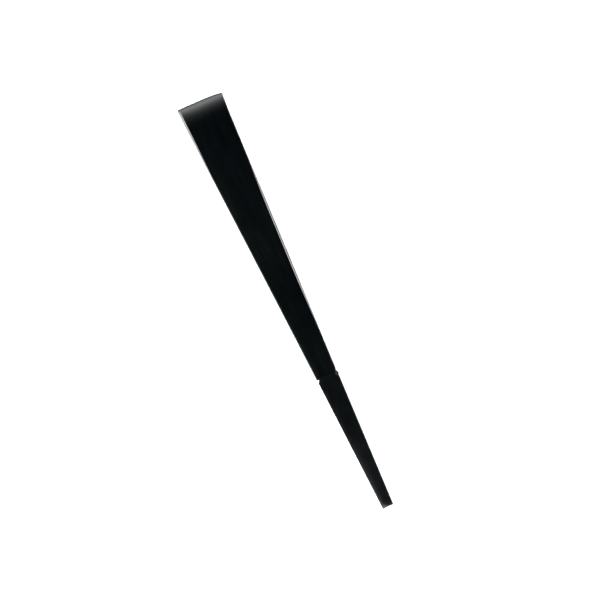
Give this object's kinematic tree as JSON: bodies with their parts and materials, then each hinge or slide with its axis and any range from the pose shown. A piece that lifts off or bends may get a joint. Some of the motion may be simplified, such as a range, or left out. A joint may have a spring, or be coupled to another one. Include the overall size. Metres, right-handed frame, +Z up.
{
  "type": "bone folder",
  "caption": "Slim tapering paper-folding tool: a wide blade with a rolled-off folding edge, and a narrow creasing tip on a flat tang that pulls out of the blade.",
  "frame": {"origin": "middle of the length, on the flat underside that the tool lies on", "axes": "+Y along the tool towards the wide folding end, +Z up out of the crowned face, +X across the tool"},
  "size_m": [0.0204, 0.1999, 0.005],
  "materials": {
    "black_body": "polished black, fine rubbing marks",
    "washer_rubber": "black hard rubber, polished down with the body",
    "steel": "brushed lengthwise",
    "brass": "drawn, slightly dulled"
  },
  "bodies": {
    "blade_body": {"blade": "black_body", "socket_liner": "brass", "hold_spring": "steel"},
    "tip_body": {"tip": "black_body", "tang": "steel", "tang_pin_1": "steel", "tang_pin_2": "steel", "joint_washer": "washer_rubber"}
  },
  "joints": [
    {"name": "tip_pull", "type": "slide", "parent": "blade_body", "child": "tip_body", "axis": [0, -1, 0], "range_m": [0, 0.028]}
  ]
}
